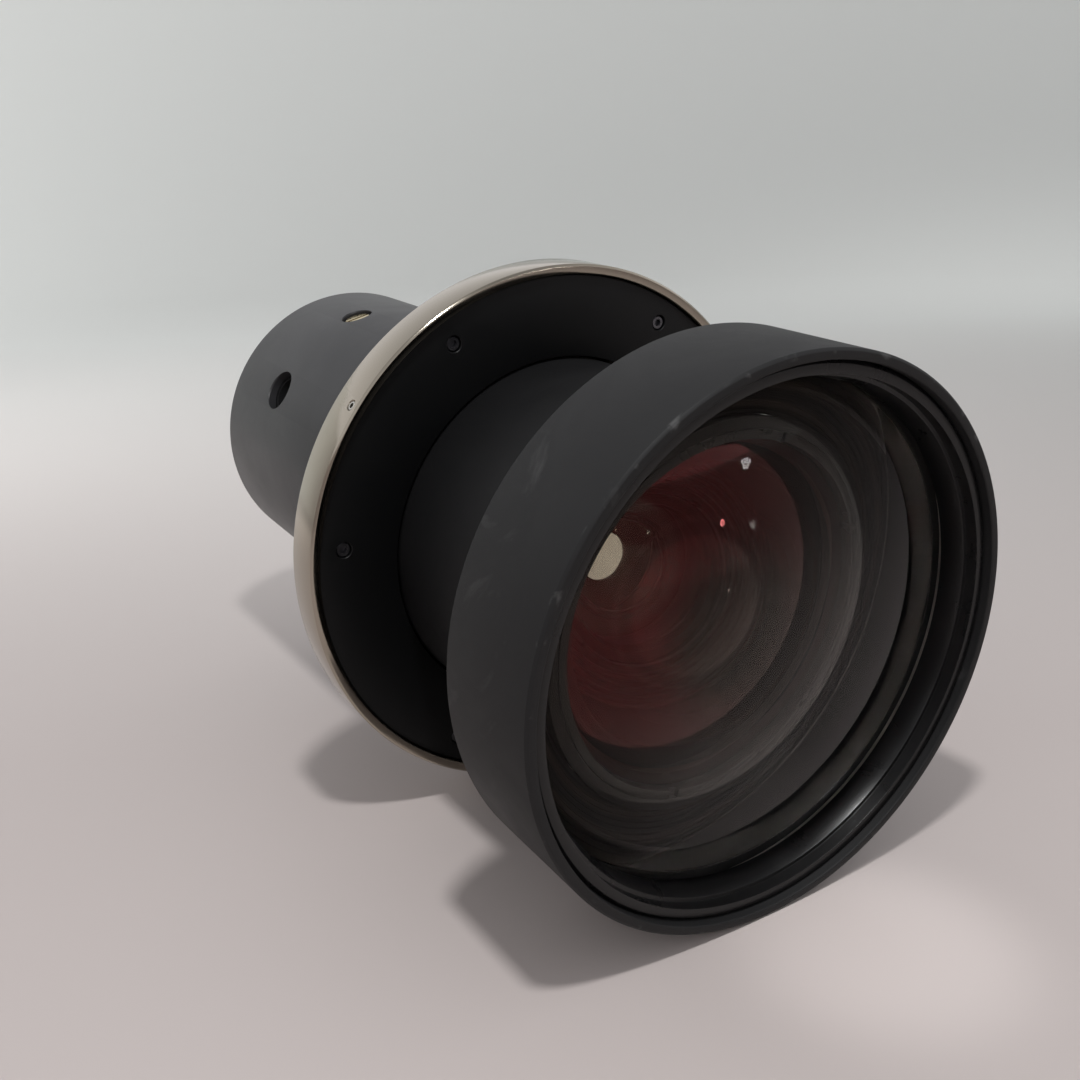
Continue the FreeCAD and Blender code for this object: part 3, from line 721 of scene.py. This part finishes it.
def make_face_plate():
    """Black plate let into the flange, counterbored for its screws."""
    front, rear, radius = reach("flange_face_plate")
    bore = reach("middle_tube")[2] + 0.9 * MM
    chamfer = 0.3 * MM
    outline = [
        (front, bore), (front, radius - chamfer), (front + chamfer, radius), (rear, radius), (rear, bore)]
    plate = turned("face_plate", outline, edge=0.12 * MM)
    head, shank, depth, sink = 2.35 * MM, 1.4 * MM, 2.7 * MM, 0.15 * MM
    drill = turned("drill", [
        (front - PAST, 0), (front - PAST, head + PAST + sink), (front + sink, head),
        (front + depth, head), (front + depth, shank), (rear + PAST, shank), (rear + PAST, 0)],
        segments=SMALL_SEGMENTS)
    shifted(drill, (0, 0, FACE_SCREW_CIRCLE))
    at_clocks(drill, FACE_SCREW_CLOCKS)
    cut(plate, drill)
    smoothed(plate)
    stands_for(plate, "flange_face_plate", plate_black)


def make_face_screws():
    """Cap screws of the face plate, with hexagon sockets."""
    front, rear = reach("face_screws")[:2]
    head, shank, height, chamfer = 2.1 * MM, 1.25 * MM, 2.2 * MM, 0.3 * MM
    socket, socket_depth = 2.0 * MM, 1.3 * MM
    screw = turned("face_screw_set", [
        (front, 0), (front, head - chamfer), (front + chamfer, head), (front + height, head),
        (front + height, shank), (rear - chamfer, shank), (rear, shank - chamfer), (rear, 0)],
        segments=SMALL_SEGMENTS)
    cut(screw, hexagon("socket", socket, front - PAST, front + socket_depth))
    shifted(screw, (0, 0, FACE_SCREW_CIRCLE))
    at_clocks(screw, FACE_SCREW_CLOCKS)
    smoothed(screw)
    stands_for(screw, "face_screws", screw_black)


def make_rim_screws():
    """Small set screws in the flange's rim."""
    top = reach("flange_ring")[2] - 0.2 * MM
    inner = reach("flange_face_plate")[2]
    radius, point, chamfer = 1.48 * MM, 0.3 * MM, 0.25 * MM
    socket, socket_depth = 1.5 * MM, 1.4 * MM
    screw = turned("rim_screw_set", [
        (inner, 0), (inner, radius - point), (inner + point, radius), (top - chamfer, radius),
        (top, radius - chamfer), (top, 0)], segments=SMALL_SEGMENTS)
    cut(screw, hexagon("socket", socket, top - socket_depth, top + PAST))
    upright(screw, RIM_SCREW_STATION)
    at_clocks(screw, RIM_SCREW_CLOCKS)
    smoothed(screw)
    stands_for(screw, "rim_set_screws", screw_steel)


# Rear barrel with its screws, and the carrier inside it


def make_barrel():
    """Rear barrel with its spigot and six countersunk holes."""
    front, rear, radius = reach("rear_barrel")
    spigot = radius - 2.1 * MM
    spigot_bore = spigot - 3.6 * MM
    bore = radius - BARREL_WALL
    shoulder, chamfer = 6.0 * MM, 0.5 * MM
    outline = [
        (front, spigot_bore), (front, spigot), (0, spigot), (0, radius), (rear - chamfer, radius),
        (rear, radius - chamfer), (rear, bore), (shoulder, bore), (shoulder, spigot_bore)]
    barrel = turned("barrel", outline, edge=0.15 * MM)
    for hole, clocks in ((5.5 * MM, CENTRING_CLOCKS), (7.2 * MM, LOCKING_CLOCKS)):
        sink, flare = 0.5 * MM, 0.6 * MM
        drill = [
            (bore - 3 * PAST, 0), (bore - 3 * PAST, hole), (radius - sink, hole),
            (radius + sink, hole + flare), (radius + sink, 0)]
        radial_holes(barrel, drill, HOLE_STATION, clocks, HOLE_SEGMENTS)
    smoothed(barrel)
    stands_for(barrel, "rear_barrel", barrel_grey)


def make_centring_screws():
    """Slotted cheese-head screws at the bottom of three of the holes."""
    seat = reach("group_carrier")[2]
    top = seat + 2.1 * MM
    tip = seat - 6.0 * MM
    head, shank, chamfer = 4.7 * MM, 2.0 * MM, 0.4 * MM
    slot_width, slot_depth = 1.2 * MM, 1.0 * MM
    screw = turned("centring_screw_set", [
        (tip, 0), (tip, shank), (seat, shank), (seat, head), (top - chamfer, head),
        (top, head - chamfer), (top, 0)], edge=0.06 * MM, segments=HOLE_SEGMENTS)
    cut(screw, block("slot", (3 * head, 2 * slot_depth, slot_width), (0, top, 0)))
    upright(screw, HOLE_STATION)
    at_clocks(screw, CENTRING_CLOCKS)
    smoothed(screw)
    stands_for(screw, "centring_screws", screw_bright)


def make_carrier():
    """Waisted sleeve that carries the rear group, with its collars and mouth."""
    front, rear = reach("group_carrier")[:2]
    radius = reach("rear_barrel")[2] - BARREL_WALL - SLIP
    bore = radius - 8.8 * MM
    waist = bore + 4.0 * MM
    front_bore = reach("fourth_glass")[2] + FIT
    stop = reach("aperture_stop")[0]
    septum = 22.0 * MM
    front_collar = front + 12 * MM
    collar_start = HOLE_STATION - 9 * MM
    collar_end = HOLE_STATION + 9 * MM
    rear_collar = rear - 11 * MM
    septum_front = stop - 3 * MM
    mouth = 1 * MM
    outline = [
        (front, front_bore), (front, radius), (front_collar, radius), (front_collar, waist),
        (collar_start, waist), (collar_start, radius), (collar_end, radius), (collar_end, waist),
        (rear_collar, waist), (rear_collar, radius), (rear, radius), (rear, bore + mouth),
        (rear - mouth, bore), (stop, bore), (stop, septum), (septum_front, septum),
        (septum_front, front_bore)]
    carrier = turned("carrier", outline, edge=0.15 * MM)
    thread, tip = 2 * MM, radius - 6 * MM
    drill = [(tip, 0), (tip, thread), (radius + PAST, thread), (radius + PAST, 0)]
    radial_holes(carrier, drill, HOLE_STATION, CENTRING_CLOCKS, SMALL_SEGMENTS)
    shank, head = 3.0 * MM, 5.6 * MM
    tip, floor = bore + 0.5 * MM, radius - 4 * MM
    drill = [
        (tip, 0), (tip, shank), (floor, shank), (floor, head),
        (radius + PAST, head), (radius + PAST, 0)]
    radial_holes(carrier, drill, HOLE_STATION, LOCKING_CLOCKS, SMALL_SEGMENTS)
    smoothed(carrier)
    stands_for(carrier, "group_carrier", carrier_black)


def make_rear_ring():
    """Threaded ring behind the rear glass, with two spanner slots."""
    front, rear, radius = reach("rear_retaining_ring")
    bore = reach("rear_glass")[2] - 2.0 * MM
    chamfer, slot_width, slot_depth = 0.4 * MM, 3.0 * MM, 1.2 * MM
    outline = [
        (front, bore), (front, radius), (rear - chamfer, radius), (rear, radius - chamfer),
        (rear, bore + chamfer), (rear - chamfer, bore)]
    ring = turned("rear_ring", outline, edge=0.06 * MM)
    cut(ring, block("slot", (2.1 * radius, 2 * slot_depth, slot_width), (0, rear, 0)))
    smoothed(ring)
    stands_for(ring, "rear_retaining_ring", ring_black)


make_front_hood()
make_front_ring()
make_baffle()
make_second_ring()
make_spacer()
make_glasses()
make_tube()
make_flange()
make_face_plate()
make_face_screws()
make_rim_screws()
make_barrel()
make_centring_screws()
make_carrier()
make_rear_ring()

# Finishes of the frame's own pieces that stay
finishes = {
    "ring_black": ring_black,
    "baffle_black": inner_black,
    "stop_black": inner_black,
    "screw_black": screw_black,
}
for node, slot in SLOTS.items():
    if slot in finishes:
        mesh = frame["nodes"][node].data
        mesh.materials.clear()
        mesh.materials.append(finishes[slot])


# Floor, lights and camera


def paper():
    """Uncoated pale paper: smooth and hardly shiny; its colour is painted darker and warmer near the lens
    and whiter a metre behind it, as painted light.
    """
    material = new_material("pale_paper")
    place = add(material, "TexCoord").outputs["Object"]
    along = add(material, "VectorMath", {"operation": "DOT_PRODUCT"}, {0: place, 1: PAINTED_LIGHT_DIRECTION})
    depth = add(material, "MapRange", {}, {"Value": along.outputs["Value"]})
    # Painted light: the paper's colour grows from a darker warm tone near the lens to a whiter one a metre
    # behind it
    tint = add(material, "Mix", {"data_type": "RGBA"}, {
        "Factor": depth.outputs["Result"], 6: colour("#cac0bd"), 7: colour("#e0e2df")})
    shader = add(material, "BsdfPrincipled", {}, {"Base Color": tint.outputs[2], "Roughness": 0.5})
    return surface(material, shader)


def make_room():
    """Pale paper sweep: a floor that touches flange and hood, and curves up all round."""
    flange_front = reach("flange_ring")[0]
    flange_radius = reach("flange_ring")[2]
    tilt = math.atan((flange_radius - hood_radius) / (flange_front - hood_front))
    flat, bend, bend_steps, turn_steps = 1.5, 0.9, 24, 96
    angles = [math.radians(90 * step / bend_steps) for step in range(bend_steps + 1)]
    curve = [(flat + bend * math.sin(angle), 0, bend * (1 - math.cos(angle))) for angle in angles]
    room = traced("paper_sweep", [(0, 0, 0)] + curve)
    spun((0, 0, 1), turn_steps, inside=True)
    rotate(-math.degrees(tilt), "X")
    bpy.ops.transform.translate(value=(0, 0, -hood_radius + math.tan(tilt) * hood_front))
    bpy.ops.object.mode_set(mode="OBJECT")
    bpy.ops.object.shade_smooth()
    room.data.materials.append(paper())


def lamp(name, place, target, size, watts, spread=180):
    """Round soft lamp at a place, pointing at a target, that the camera doesn't see."""
    bpy.ops.object.select_all(action="DESELECT")
    bpy.ops.object.light_add(type="AREA", location=place)
    made = bpy.context.object
    made.name = name
    made.data.shape = "DISK"
    made.data.size = size
    made.data.energy = watts
    made.data.spread = math.radians(spread)
    made.rotation_mode = "QUATERNION"
    made.rotation_quaternion = (Vector(target) - Vector(place)).to_track_quat("-Z", "Y")
    made.visible_camera = False


def make_lights():
    """Pale room, a lamp over the lens, three over the paper, one for a window, and light thrown back."""
    world = bpy.data.worlds.new("room")
    bpy.context.scene.world = world
    world.use_nodes = True

    # The room is brighter towards its horizon than overhead
    back = world.node_tree.nodes["Background"]
    back.inputs["Color"].default_value = colour("#e8e8ea")
    ray = add(world, "TexCoord").outputs["Generated"]
    parts = add(world, "SeparateXYZ", {}, {"Vector": ray})
    strength = add(world, "MapRange", {}, {
        "Value": parts.outputs["Z"], "From Min": 0.3, "From Max": 1.0, "To Min": 1.2, "To Max": 0.38})
    world.node_tree.links.new(strength.outputs["Result"], back.inputs["Strength"])

    # Place, target, width in metres, watts, and for a narrow lamp its spread in degrees
    lamp("front_lamp", (-0.145, -0.235, 0.62), (-0.145, -0.235, 0), 0.055, 2.4)
    lamp("paper_lamp", (-0.5, 1.3, 0.7), (-0.2, 2.1, 0.25), 0.8, 5.6)
    lamp("left_lamp", (-0.75, 0.75, 0.55), (-0.15, 0.65, -0.07), 0.5, 0.9, 60)
    lamp("right_lamp", (1.5, 0.5, 0.55), (1.25, 0.75, -0.07), 0.8, 0.4, 60)
    lamp("window_lamp", (0.62, -1.05, 0.16), (0, 0, 0), 0.04, 0.12)
    bpy.ops.object.select_all(action="DESELECT")
    bpy.ops.object.light_add(type="SPOT", location=SPOT_PLACE)
    glint = bpy.context.object
    glint.name = "light_thrown_back"
    glint.data.energy = 2.6
    glint.data.spot_size = math.radians(11)
    glint.data.spot_blend = 1.0
    glint.data.shadow_soft_size = 0.01
    glint.rotation_mode = "QUATERNION"
    glint.rotation_quaternion = (Vector(SPOT_TARGET) - Vector(SPOT_PLACE)).to_track_quat("-Z", "Y")


def make_camera():
    """Camera of the photograph."""
    bpy.ops.object.camera_add(location=CAMERA_PLACE)
    camera = bpy.context.object
    right = Vector(CAMERA_RIGHT).normalized()
    forward = Vector(CAMERA_FORWARD).normalized()
    up = right.cross(forward)
    turn = Matrix((right, up, -forward)).transposed()
    camera.rotation_mode = "QUATERNION"
    camera.rotation_quaternion = turn.to_quaternion()
    camera.data.lens = CAMERA_LENS
    camera.data.sensor_width = SENSOR_WIDTH
    camera.data.clip_start = 0.01
    bpy.context.scene.camera = camera


make_room()
make_lights()
make_camera()

# Bounces enough for light to cross all seven elements and come back
scene = bpy.context.scene
scene.view_settings.view_transform = "Standard"
scene.cycles.max_bounces = 32
scene.cycles.transmission_bounces = 28
scene.cycles.glossy_bounces = 8
scene.cycles.transparent_max_bounces = 16
